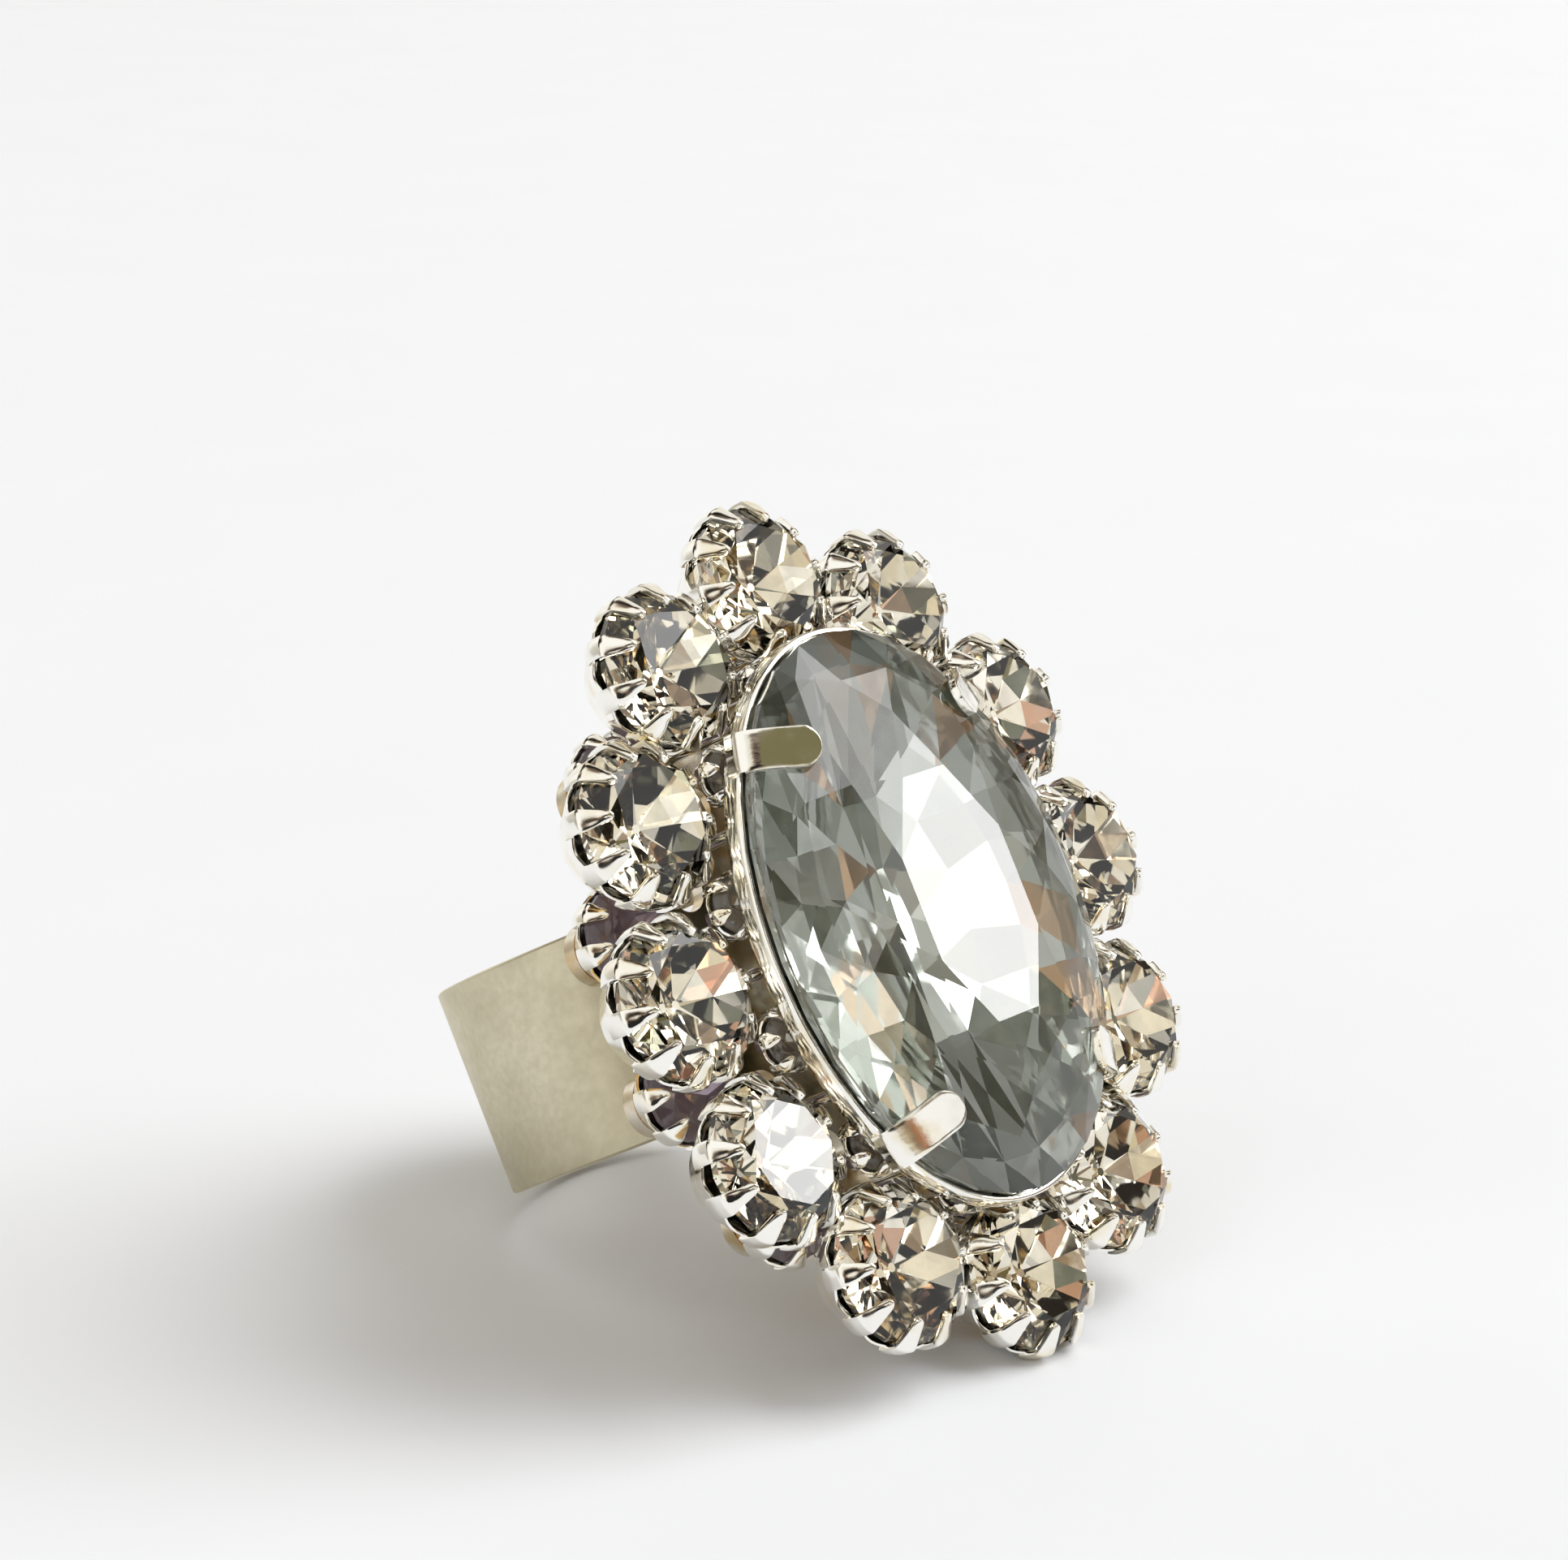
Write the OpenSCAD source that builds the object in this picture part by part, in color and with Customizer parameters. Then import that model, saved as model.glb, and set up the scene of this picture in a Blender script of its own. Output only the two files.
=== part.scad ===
// Oval cocktail ring: a big oval stone in a raised gallery, a halo of round stones in many-pronged cups,
// a lower tier of small stones under the notches, and a wide flat band.
// Origin: centre of the finger bore. +Y along the finger and the long way of the head, +Z out through the stones.

/* [Finger band] */
// Inside diameter of the band
bore_d = 18.2; // [15:0.1:22]
// Thickness of the band's metal
band_t = 1.0; // [0.8:0.1:1.6]
// Width of the band along the finger
band_w = 11.6; // [6:0.1:13]
// Chamfer on the band's four rims
band_chamfer = 0.15; // [0.05:0.05:0.3]

/* [Head supports] */
// Height of the brazed pad above the band
pad_h = 1.9; // [1.2:0.1:3]
// Size of the pad across the fingers
pad_x = 9; // [6:0.5:11]
// Thickness of the stamped base plate
plate_t = 0.8; // [0.6:0.1:1.2]
// How far the base plate stays inside the halo's centre line
plate_inset = 3.1; // [2.6:0.1:5]
// Diameter of the round holes stamped in the base plate
plate_hole_d = 2.2; // [1:0.1:2.6]

/* [Big stone] */
// Length of the big oval stone
stone_l = 30; // [24:0.5:34]
// Width of the big oval stone
stone_w = 22; // [17:0.5:26]
// Thickness of its girdle
girdle_t = 0.4; // [0.3:0.1:0.8]
// Height of its crown above the girdle
crown_h = 2.8; // [2:0.1:4]
// Depth of its pavilion below the girdle
pavilion_h = 5.0; // [4:0.1:6]
// Gap between the halo's folded prongs and its setting's ledge
head_gap = 0.2; // [0.1:0.05:1]

/* [Big stone's setting] */
// Width of the four strap prongs
strap_w = 2.1; // [1.2:0.1:3]
// Thickness of the strap prongs
strap_t = 0.5; // [0.4:0.05:0.8]
// Length of a strap that lies over the crown
strap_reach = 4.2; // [2.5:0.1:5]
// Thickness of the rim round the girdle
rim_t = 0.4; // [0.3:0.05:0.7]
// Diameter of each gallery post
post_d = 0.7; // [0.5:0.05:0.9]

/* [Halo] */
// How far the halo's centre line lies outside the stone's ends
halo_out_l = 3.8; // [3.6:0.1:5]
// How far the halo's centre line lies outside the stone's sides
halo_out_w = 4.4; // [4.2:0.1:5.5]
// Thickness of the cups' sheet metal
cup_t = 0.3; // [0.2:0.05:0.4]
// Gap between neighbouring halo cups
cup_gap = 0.04; // [0.02:0.01:0.3]
// Number of prongs on each halo cup
cup_prongs = 10; // [8:1:12]

/* [Lower tier] */
// Diameter of the lower tier's stones
under_stone_d = 5.3; // [4:0.1:5.6]
// How far the lower tier lies inside the halo's centre line
under_inset = 2.1; // [1.2:0.1:2.6]

/* [Accent stones] */
// Diameter of the small stones in the gaps inside the halo
accent_stone_d = 2.8; // [2:0.1:2.8]
// How far the accent cups' tips stay under the big stone's girdle
accent_drop = 1.6; // [1.4:0.1:3]

/* [Clearance] */
// Gap between a stone and the metal that holds it
fit_gap = 0.03; // [0.02:0.01:0.08]

/* [Hidden] */
COUNT = 12; // stones in each of the three rows
function numbered(stem, k) = str(stem, k < 9 ? "0" : "", k + 1);

SILVER = "silver";
CRYSTAL = "lightsteelblue";
HALF_STEP = 0.5;     // the lower tier and the accents sit half a step round from the halo
ARC_STEPS = 180;     // steps used to share out the halo's length
OVAL_SIDES = 72;     // sides of the oval plates and rims
ROUND = 48;          // turned surfaces
SLIVER = 0.01;       // thickness of the flat slices that the stones are spanned between
SEAT_RATIO = 0.86;   // a cup's base to its stone's girdle, as a share of the stone's radius, or more
DEPTH_RATIO = 0.62;  // a round stone's depth below its girdle's middle, as a share of its radius
TIP_RATIO = 0.22;    // a round stone's small flat tip, as a share of its radius
BELT_RATIO = 0.05;   // half the height of a round stone's girdle, as a share of its radius
CROWN_RATIO = 0.32;  // a round stone's crown height, as a share of its radius
TABLE_RATIO = 0.66;  // a round stone's table, as a share of its radius
BASE_RATIO = 0.62;   // a cup's flat base, as a share of the stone's radius
LIP_RATIO = 0.12;    // a cup's wall above the girdle, as a share of the stone's radius
SHOULDER = 0.86;     // height where a cup's flare turns upright, as a share of its girdle's height
SLOT_FROM = 0.78;    // height where the slots between prongs begin, as a share of its girdle's height
SLOT_SHARE = 0.6;    // share of the wall that the slots take
FOLD_RATIO = 0.26;   // how far a cup's prongs fold over the crown, as a share of the stone's radius
STRAP_TURN = 18;     // the straps point this far off the short way of the head, towards its middle
STRAP_AT = 47;       // the straps stand this far round from the long axis
TABLE_L = 0.47;      // length of the big stone's table, as a share of the stone's
TABLE_W = 0.37;      // width of the big stone's table, as a share of the stone's
CROWN_BREAK = 0.62;  // height of the crown's middle break, as a share of the crown
BREAK_L = 0.79;      // length of the crown's middle break, as a share of the stone's
BREAK_W = 0.73;      // width of the crown's middle break, as a share of the stone's
KEEL_SHARE = 0.55;   // depth of the pavilion's middle break, as a share of the pavilion
KEEL_L = 0.60;       // length of the pavilion's middle break, as a share of the stone's
KEEL_W = 0.55;       // width of the pavilion's middle break, as a share of the stone's
TIP_L = 0.20;        // length of the pavilion's keel, as a share of the stone's
TIP_W = 0.04;        // width of the pavilion's keel, as a share of the stone's
LEDGE_T = 0.5;       // thickness of the ledge under the stone
POST_BITE = 0.75;    // share of a post's width that stands under the ledge
HOLE_INSET = 1.9;    // base plate's holes to the line under the stone's edge, in hole diameters
PAD_MARGIN = 1;      // the pad stops this far short of the band's edges
PAST = 1;            // how far a cutting shape runs past the metal

band_r = bore_d / 2 + band_t;
plate_z = band_r + pad_h;
tier_z = plate_z + plate_t;
stone_a = stone_l / 2;
stone_b = stone_w / 2;
halo_a = stone_a + halo_out_l;
halo_b = stone_b + halo_out_w;
cup_turn = 180 / cup_prongs; // each halo cup is turned half a prong's step further than the last

// A point on an oval with half lengths a (along Y) and b (along X), t degrees round from +Y
function oval(a, b, t) = [b * sin(t), a * cos(t)];
// The oval's outline, grown by g
function oval_ring(a, b, g) = [for (i = [0 : OVAL_SIDES - 1]) oval(a, b, -i * 360 / OVAL_SIDES)
    + g * outward(a, b, -i * 360 / OVAL_SIDES)];
// Unit vector square to the oval at t
function outward(a, b, t) = let (n = [sin(t) / b, cos(t) / a]) n / norm(n);
// Pairs of length so far and angle, used to step round the halo by equal lengths
halo_arc = [for (i = 0, s = 0; i <= ARC_STEPS;
    s = s + norm(oval(halo_a, halo_b, (i + 1) * 360 / ARC_STEPS) - oval(halo_a, halo_b, i * 360 / ARC_STEPS)),
    i = i + 1) [s, i * 360 / ARC_STEPS]];
halo_length = halo_arc[ARC_STEPS][0];
// Angle of the k-th place round the halo; k may be a half
function place(k) = lookup((k % COUNT) * halo_length / COUNT, halo_arc);
function heading(k) = let (n = outward(halo_a, halo_b, place(k))) atan2(n[1], n[0]);
halo_chord = min([for (k = [0 : COUNT - 1])
    norm(oval(halo_a, halo_b, place(k + 1)) - oval(halo_a, halo_b, place(k)))]);

// Radii of a cup's rim from its stone, and of the halo's stones from the room between neighbours
function rim_r(stone_r) = stone_r + fit_gap + cup_t;
halo_stone_r = (halo_chord - cup_gap) / 2 - cup_t - fit_gap;
under_stone_r = under_stone_d / 2;
accent_stone_r = accent_stone_d / 2;
// Height of a stone's girdle in its cup, high enough for its tip to clear the cup's floor
function seat_z(stone_r) = max(stone_r * SEAT_RATIO, cup_t + fit_gap + stone_r * DEPTH_RATIO);
// Height of a cup with its prongs folded
function cup_top(stone_r) = seat_z(stone_r) + stone_r * LIP_RATIO + fold_rise(stone_r) + cup_t;
function fold_rise(stone_r) = stone_r * FOLD_RATIO * CROWN_RATIO / (1 - TABLE_RATIO);
halo_z = tier_z + cup_top(under_stone_r) + fit_gap;
// Height of a halo cup's folded prongs, r from its centre
function fold_z(r) = cup_top(halo_stone_r) - fold_rise(halo_stone_r)
    * max(0, 1 - (halo_stone_r - r) / (halo_stone_r * FOLD_RATIO));
halo_out = min(halo_out_l, halo_out_w);
post_inset = rim_r(halo_stone_r) + cup_gap + post_d / 2;
ledge_in = post_inset + post_d * (POST_BITE - 0.5) - halo_out;
keel_slope = pavilion_h * KEEL_SHARE / (stone_b * (1 - KEEL_W));
rim_depth = ledge_in * keel_slope + fit_gap;
ledge_z = halo_z + fold_z(halo_out - rim_t) + head_gap;
girdle_z = ledge_z + LEDGE_T + rim_depth + girdle_t / 2;
accent_z = girdle_z - accent_drop - cup_top(accent_stone_r);

module oval_plate(a, b, g, h) linear_extrude(h) polygon(oval_ring(a, b, g));

module oval_rim(a, b, inner, outer, h) linear_extrude(h) difference() {
    polygon(oval_ring(a, b, outer));
    polygon(oval_ring(a, b, inner));
}

// Puts its child at place k, inset from the halo's centre line, with +X pointing outwards
module at_place(k, inset, z) {
    p = oval(halo_a, halo_b, place(k)) - inset * outward(halo_a, halo_b, place(k));
    translate([p[0], p[1], z]) rotate([0, 0, heading(k)]) children();
}

// Puts its child in the gap inside halo places k and k + 1, where a circle of radius r just clears both cups
module in_gap(k, r, z) {
    p1 = oval(halo_a, halo_b, place(k));
    p2 = oval(halo_a, halo_b, place(k + 1));
    half = norm(p2 - p1) / 2;
    reach = rim_r(halo_stone_r) + r + cup_gap;
    out = [p1[1] - p2[1], p2[0] - p1[0]] / (2 * half);
    p = (p1 + p2) / 2 - sqrt(reach * reach - half * half) * out;
    translate([p[0], p[1], z]) rotate([0, 0, atan2(out[1], out[0])]) children();
}

// Sheet metal cup: flat base, flared wall, slots near the top, prongs folded over the crown
module prong_cup(stone_r, prongs) {
    seat = seat_z(stone_r);
    lip = seat + stone_r * LIP_RATIO;
    base_r = stone_r * BASE_RATIO;
    wall_r = rim_r(stone_r);
    fold_r = wall_r - cup_t - stone_r * FOLD_RATIO;
    rise = fold_rise(stone_r);
    slot_w = 2 * PI * wall_r / prongs * SLOT_SHARE;
    slot_z = seat * SLOT_FROM;
    difference() {
        rotate_extrude($fn = ROUND) polygon([
            [0, 0], [base_r, 0], [wall_r, seat * SHOULDER], [wall_r, lip], [wall_r - cup_t * 0.4, lip + cup_t * 0.6],
            [fold_r, lip + rise + cup_t], [fold_r, lip + rise], [wall_r - cup_t, lip],
            [wall_r - cup_t, seat * SHOULDER], [base_r - cup_t, cup_t], [0, cup_t]
        ]);
        for (i = [0 : prongs - 1]) rotate([0, 0, i * 360 / prongs])
            translate([fold_r - cup_t, -slot_w / 2, slot_z]) cube([wall_r, slot_w, lip + rise + PAST]);
    }
}

// Round foiled stone: eight-sided table, sixteen-sided girdle, pavilion down to a small flat
module round_stone(stone_r) {
    seat = seat_z(stone_r);
    belt = stone_r * BELT_RATIO;
    translate([0, 0, seat]) hull() {
        translate([0, 0, belt + stone_r * CROWN_RATIO - SLIVER])
            cylinder(h = SLIVER, r = stone_r * TABLE_RATIO, $fn = 8);
        translate([0, 0, -belt]) rotate([0, 0, 11.25]) linear_extrude(2 * belt) circle(r = stone_r, $fn = 16);
        translate([0, 0, -stone_r * DEPTH_RATIO]) cylinder(h = SLIVER, r = stone_r * TIP_RATIO, $fn = 8);
    }
}

module band() color("tan") rotate([90, 0, 0]) rotate_extrude($fn = 128) translate([0, -band_w / 2]) polygon([
    [bore_d / 2, band_chamfer], [bore_d / 2 + band_chamfer, 0], [band_r - band_chamfer, 0],
    [band_r, band_chamfer], [band_r, band_w - band_chamfer], [band_r - band_chamfer, band_w],
    [bore_d / 2 + band_chamfer, band_w], [bore_d / 2, band_w - band_chamfer]
]);

module band_pad() color(SILVER) difference() {
    pad_y = band_w - 2 * PAD_MARGIN;
    translate([-pad_x / 2, -pad_y / 2, 0]) cube([pad_x, pad_y, plate_z]);
    rotate([90, 0, 0]) cylinder(r = band_r, h = band_w + 2 * PAST, center = true, $fn = 128);
}

// Oval plate with a lobe under each cup of the lower tier and a row of stamped holes
module base_plate() color(SILVER) translate([0, 0, plate_z]) difference() {
    union() {
        oval_plate(halo_a, halo_b, -plate_inset, plate_t);
        for (k = [0 : COUNT - 1]) at_place(k + HALF_STEP, under_inset, 0)
            cylinder(r = under_stone_r * BASE_RATIO, h = plate_t, $fn = ROUND);
    }
    for (k = [0 : COUNT - 1]) {
        p = oval(stone_a, stone_b, place(k)) - plate_hole_d * HOLE_INSET * outward(stone_a, stone_b, place(k));
        translate([p[0], p[1], -PAST]) cylinder(d = plate_hole_d, h = plate_t + 2 * PAST, $fn = 32);
    }
}

module under_cups() color(SILVER) for (k = [0 : COUNT - 1])
    at_place(k + HALF_STEP, under_inset, tier_z) prong_cup(under_stone_r, 8);

module under_stone(k) color("plum") at_place(k + HALF_STEP, under_inset, tier_z) round_stone(under_stone_r);

module halo_cup(k) color(SILVER) at_place(k, 0, halo_z) rotate([0, 0, k * cup_turn])
    prong_cup(halo_stone_r, cup_prongs);

module halo_stone(k) color(CRYSTAL) at_place(k, 0, halo_z) round_stone(halo_stone_r);

// Brazed between the halo cups, just inside them
module accent_cups() color(SILVER) for (k = [0 : COUNT - 1])
    in_gap(k, rim_r(accent_stone_r), accent_z) prong_cup(accent_stone_r, 6);

module accent_stone(k) color(CRYSTAL) in_gap(k, rim_r(accent_stone_r), accent_z) round_stone(accent_stone_r);

// Strap prong, drawn at the girdle's edge with +X pointing in over the stone, skew degrees off square to it
module strap(skew) {
    run = norm([stone_b * (1 - BREAK_W) * sin(STRAP_AT), stone_a * (1 - BREAK_L) * cos(STRAP_AT)]);
    slope = atan(crown_h * CROWN_BREAK / run);
    straight = strap_reach - strap_w / 2;
    out = strap_w / 2 * tan(skew) + fit_gap + strap_t;
    leg_h = rim_depth + girdle_t + strap_t * 0.3;
    translate([-out, -strap_w / 2, -girdle_t / 2 - rim_depth]) cube([strap_t, strap_w, leg_h]);
    translate([-out, 0, girdle_t / 2 - strap_t * tan(slope)]) rotate([0, -slope, 0]) linear_extrude(strap_t) {
        translate([0, -strap_w / 2]) square([straight, strap_w]);
        translate([straight, 0]) circle(d = strap_w, $fn = 32);
    }
}

// Rim round the girdle, ledge under it, posts down to the base plate, and four straps over the crown
module center_setting() color(SILVER) {
    translate([0, 0, ledge_z + LEDGE_T]) oval_rim(stone_a, stone_b, fit_gap, rim_t, rim_depth + girdle_t);
    translate([0, 0, ledge_z]) oval_rim(stone_a, stone_b, -ledge_in, rim_t, LEDGE_T);
    for (k = [0 : COUNT - 1]) at_place(k, post_inset, tier_z)
        cylinder(d = post_d, h = ledge_z + LEDGE_T / 2 - tier_z, $fn = 24);
    p = oval(stone_a, stone_b, STRAP_AT);
    square_to = outward(stone_a, stone_b, STRAP_AT);
    for (side = [0, 1], end = [0, 1]) mirror([side, 0, 0]) mirror([0, end, 0])
        translate([p[0], p[1], girdle_z]) rotate([0, 0, 180 + STRAP_TURN])
            strap(atan2(square_to[1], square_to[0]) - STRAP_TURN);
}

// Oval stone: table, crown break, girdle and pavilion, each a sixteen- or eight-sided oval
module center_stone() color("slategray") translate([0, 0, girdle_z]) hull() {
    translate([0, 0, girdle_t / 2 + crown_h - SLIVER]) facet_oval(TABLE_L, TABLE_W, 8);
    translate([0, 0, girdle_t / 2 + crown_h * CROWN_BREAK]) facet_oval(BREAK_L, BREAK_W, 16);
    translate([0, 0, -girdle_t / 2]) oval_plate(stone_a, stone_b, 0, girdle_t);
    translate([0, 0, -girdle_t / 2 - pavilion_h * KEEL_SHARE]) facet_oval(KEEL_L, KEEL_W, 16);
    translate([0, 0, -girdle_t / 2 - pavilion_h]) facet_oval(TIP_L, TIP_W, 8);
}

// A thin slice with a given number of sides, sized as shares of the big stone's half length and half width
module facet_oval(share_l, share_w, sides) linear_extrude(SLIVER) polygon([for (i = [0 : sides - 1])
    oval(stone_a * share_l, stone_b * share_w, -(i + 0.5) * 360 / sides)]);

band();
band_pad();
base_plate();
center_setting();
center_stone();
under_cups();
accent_cups();
for (k = [0 : COUNT - 1]) {
    halo_cup(k);
    halo_stone(k);
    under_stone(k);
    accent_stone(k);
}
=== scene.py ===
"""Oval cocktail ring: the looks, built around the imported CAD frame. Shapes are drawn in millimetres."""
import math
import random

import bmesh
import bpy
from mathutils import Matrix, Vector


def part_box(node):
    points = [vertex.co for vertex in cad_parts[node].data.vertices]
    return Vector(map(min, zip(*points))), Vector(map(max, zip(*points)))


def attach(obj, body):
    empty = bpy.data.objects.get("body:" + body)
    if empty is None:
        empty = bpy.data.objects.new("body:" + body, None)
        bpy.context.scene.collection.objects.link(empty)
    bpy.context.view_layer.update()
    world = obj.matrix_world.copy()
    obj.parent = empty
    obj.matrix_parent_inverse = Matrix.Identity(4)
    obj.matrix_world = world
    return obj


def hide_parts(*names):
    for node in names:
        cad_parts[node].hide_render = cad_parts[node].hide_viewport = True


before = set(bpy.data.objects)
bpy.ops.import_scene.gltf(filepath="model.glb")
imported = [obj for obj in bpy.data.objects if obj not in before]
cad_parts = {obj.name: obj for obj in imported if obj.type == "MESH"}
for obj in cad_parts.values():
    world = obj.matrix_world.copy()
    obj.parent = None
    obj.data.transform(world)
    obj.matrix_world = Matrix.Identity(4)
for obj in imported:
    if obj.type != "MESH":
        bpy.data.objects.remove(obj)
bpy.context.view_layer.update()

MM = 0.001
COUNT = 12  # places in each row of stones
BODY = "root"

# Cut of the round stones, in shares of the radius, as in the CAD
SEAT = 0.86  # the girdle's height over the cup's floor level
BELT = 0.05  # half the girdle's thickness
CROWN = 0.32
TABLE = 0.66
PAVILION = 0.62

# Corners between their facets, which the CAD's plainer stones leave out, in shares of the radius
MID_CROWN_R = 0.80
MID_PAVILION_R = 0.50
MID_PAVILION = 0.38
CULET_R = 0.06

# Stamped cups, as in the CAD
CUP_BASE = 0.62  # shares of the stone's radius
FOLD = 0.26
SHOULDER = 0.86  # shares of the seat's height
SLOT_FROM = 0.78
CUP_T = 0.3
FIT_GAP = 0.03
CUP_GAP = 0.04

# The big stone, its rim, ledge and posts, as in the CAD
GIRDLE_T = 0.4
CROWN_H = 2.8
PAVILION_H = 5.0
RIM_T = 0.4
RIM_DEPTH = 0.67
LEDGE_T = 0.5
LEDGE_IN = 1.15
POST_D = 0.7

# Its strap prongs, where they are in the CAD but a little thinner, for their domed faces
STRAP_W = 2.1
STRAP_T = 0.42
STRAP_REACH = 4.2  # length over the crown, along its slope, from the leg's outer face
STRAP_RUN = 0.87  # what that length covers level, as a share of it
STRAP_OUT = 0.84  # from the girdle out to the leg's outer face in the CAD
STRAP_OFF = 0.34  # and to its inner face
STRAP_AT = 47  # degrees round the oval from +Y
STRAP_TURN = 18
STRAP_SLOPE = 29.6

BAND_T = 1.0
DENTS = 26
DENT_DEPTH = 0.035

# The window's direction from the ring, the halo stone that mirrors it, and the others' lean (a slope)
WINDOW = Vector((-0.732, -0.024, 0.681)).normalized()
GLARE_STONE = 2
LEAN = 0.045
CLEAR_OF_WINDOW = math.radians(6.5)

# Camera: where it stands (mm), its turn (degrees) and its lens
CAMERA_AT = (149.07, 4.80, 164.0)
CAMERA_TURN = (23.352, -40.138, 151.505)
CAMERA_LENS = 93.37


# ---------------------------------------------------------------- shapes

class Shape:
    """Points (mm), faces, and a material number and a smooth flag for each face."""

    def __init__(self):
        self.points = []
        self.faces = []
        self.mats = []
        self.smooth = []

    def add(self, points, faces, smooth=True):
        start = len(self.points)
        self.points += [Vector(p) for p in points]
        self.faces += [tuple(start + i for i in f) for f in faces]
        self.mats += [0] * len(faces)
        self.smooth += [smooth] * len(faces)
        return self

    def put(self, other, matrix=Matrix()):
        start = len(self.points)
        self.points += [matrix @ p for p in other.points]
        self.faces += [tuple(start + i for i in f) for f in other.faces]
        self.mats += other.mats
        self.smooth += other.smooth
        return self


def grid_faces(rows, cols, wrap_rows=False, wrap_cols=False):
    """Quads between rows of points laid out row by row."""
    faces = []
    for i in range(rows if wrap_rows else rows - 1):
        row = i * cols
        next_row = (i + 1) % rows * cols
        for j in range(cols if wrap_cols else cols - 1):
            right = (j + 1) % cols
            faces.append((row + j, row + right, next_row + right, next_row + j))
    return faces


def revolve(profile, steps):
    """A closed (radius, height) outline turned round Z."""
    points = [
        (r * math.cos(2 * math.pi * i / steps), r * math.sin(2 * math.pi * i / steps), z)
        for i in range(steps)
        for r, z in profile
    ]
    return Shape().add(points, grid_faces(steps, len(profile), True, True))


def rounded(path, times=2):
    """Corners of an open path cut smooth."""
    for _ in range(times):
        cut = [path[0]]
        for p, q in zip(path, path[1:]):
            cut.append((p[0] * 0.75 + q[0] * 0.25, p[1] * 0.75 + q[1] * 0.25))
            cut.append((p[0] * 0.25 + q[0] * 0.75, p[1] * 0.25 + q[1] * 0.75))
        cut.append(path[-1])
        path = cut
    return path


def resample(path, step):
    """Points along a path, no further apart than step."""
    points = [path[0]]
    for p, q in zip(path, path[1:]):
        n = max(1, math.ceil(math.dist(p, q) / step))
        points += [(p[0] + (q[0] - p[0]) * i / n, p[1] + (q[1] - p[1]) * i / n) for i in range(1, n + 1)]
    return points


def strip_faces(rows, cols):
    """Faces of a strip: its outer grid of points, then its inner grid, its two sides and its two ends."""
    inner = rows * cols
    face = grid_faces(rows, cols)
    back = [tuple(inner + i for i in reversed(f)) for f in face]
    side = [(i * cols, (i + 1) * cols, inner + (i + 1) * cols, inner + i * cols) for i in range(rows - 1)]
    far_side = [tuple(i + cols - 1 for i in reversed(f)) for f in side]
    ends = []
    for row in (0, rows - 1):
        for j in range(cols - 1):
            a = row * cols + j
            quad = (a, inner + a, inner + a + 1, a + 1)
            ends.append(quad if row == 0 else tuple(reversed(quad)))
    return face + back + side + far_side + ends


def strip(path, width, thick, dome, tip, cols=7, narrow=1.0, over=1.0):
    """A strip of metal along a path in XZ, its face domed and its far end rounded over the length tip.
    Towards that end it narrows to a share of its width over a length, and swells into a bead."""
    length = [0.0]
    for p, q in zip(path, path[1:]):
        length.append(length[-1] + math.dist(p, q))
    outer = []
    inner = []
    for i, (x, z) in enumerate(path):
        before = path[max(i - 1, 0)]
        after = path[min(i + 1, len(path) - 1)]
        along = Vector((after[0] - before[0], 0, after[1] - before[1])).normalized()
        out = Vector((-along.z, 0, along.x))
        left = length[-1] - length[i]
        share = 1.0 if left >= tip else math.sqrt(max(1 - (1 - left / tip) ** 2, 0.02))
        share *= narrow + (1 - narrow) * min(left / over, 1)
        swell = dome * (1 + 1.5 * math.exp(-((left / tip - 1) ** 2)))
        for j in range(cols):
            v = 2 * j / (cols - 1) - 1
            middle = Vector((x, v * share * width / 2, z))
            outer.append(middle - out * (thick / 2 + swell * share * (1 - v * v)))
            inner.append(middle + out * thick / 2)
    return Shape().add(outer + inner, strip_faces(len(path), cols))


def cup_bowl(base_r, slot_r, slot_z, scallop, prongs, steps):
    """The cup's bowl up to the feet of its prongs, the edge raised by scallop between them."""
    outside = [(0.01, 0), (base_r - 0.1, 0), (base_r, 0.06), (slot_r - 0.05, slot_z - 0.08)]
    edge = [(slot_r - CUP_T / 2, slot_z)]
    inside = [(slot_r - CUP_T, slot_z - 0.08), (base_r - CUP_T, CUP_T), (0.01, CUP_T)]
    shape = revolve(outside + edge + inside, steps)
    for p in shape.points:
        if p.z > slot_z - 0.1:
            p.z += scallop * (0.5 - math.cos(prongs * math.atan2(p.y, p.x)) / 2)
    return shape


def cup_prong(stone_r, slot_r, slot_z, prong_w):
    """One prong on +X, bent to the cup's round: up from the bowl, past the girdle and in over the crown."""
    seat = stone_r * SEAT
    middle = stone_r + FIT_GAP + CUP_T / 2
    slope = CROWN / (1 - TABLE)
    lift = (CUP_T / 2 + 0.03) * math.hypot(1, slope)
    belt_z = seat + BELT * stone_r
    tip_r = stone_r * (1 - FOLD)

    def over(r):
        return r, belt_z + (stone_r - r) * slope + lift

    path = [(slot_r - CUP_T / 2, slot_z - 0.25), (middle, seat * SHOULDER), (middle, belt_z - 0.1),
            over(middle), over(tip_r)]
    path = resample(rounded(path), stone_r * 0.05)
    prong = strip(path, prong_w, CUP_T, 0.06, prong_w * 0.32, narrow=0.55, over=stone_r * FOLD * 1.6)
    prong.points = [
        Vector((p.x * math.cos(p.y / middle), p.x * math.sin(p.y / middle), p.z)) for p in prong.points
    ]
    return prong


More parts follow.
